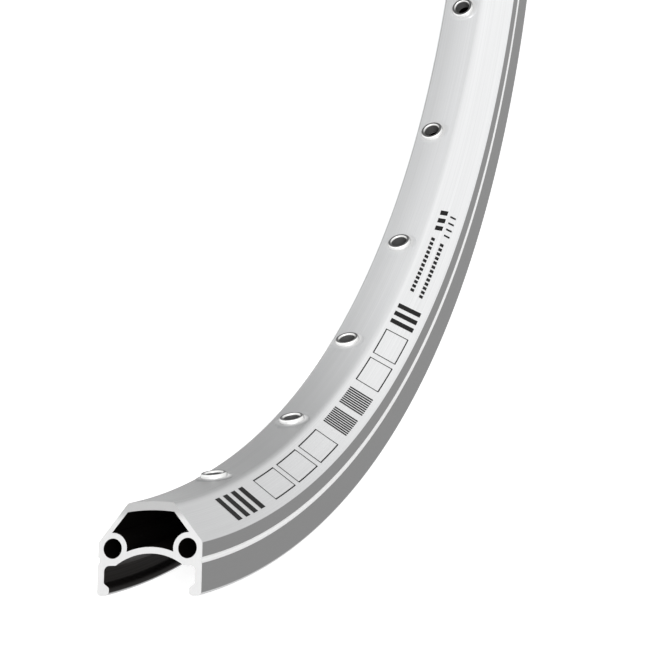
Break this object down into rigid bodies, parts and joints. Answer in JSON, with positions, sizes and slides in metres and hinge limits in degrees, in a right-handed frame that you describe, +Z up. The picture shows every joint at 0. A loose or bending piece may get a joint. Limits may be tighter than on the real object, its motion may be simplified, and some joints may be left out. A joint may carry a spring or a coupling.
{
  "type": "bicycle rim section",
  "caption": "Sawn length of double-wall alloy bicycle rim: hooked tyre channel, braking walls with a wear groove, spoke bed with riveted eyelets.",
  "frame": {"origin": "the middle of the underside of the part's box, on the surface that the length lies on", "axes": "+Z up and parallel to the wheel's axis, +Y outwards along the middle of the arc to the tyre side, +X to the leaning sawn end"},
  "size_m": [0.3378, 0.071, 0.0248],
  "materials": {
    "rim_alloy": "satin silver anodised, braking walls machined",
    "eyelet_plate": "bright nickel plate"
  },
  "bodies": {
    "root": {"rim": "rim_alloy", "eyelet_1": "eyelet_plate", "eyelet_2": "eyelet_plate", "eyelet_3": "eyelet_plate", "eyelet_4": "eyelet_plate", "eyelet_5": "eyelet_plate", "eyelet_6": "eyelet_plate", "eyelet_7": "eyelet_plate"}
  },
  "joints": []
}
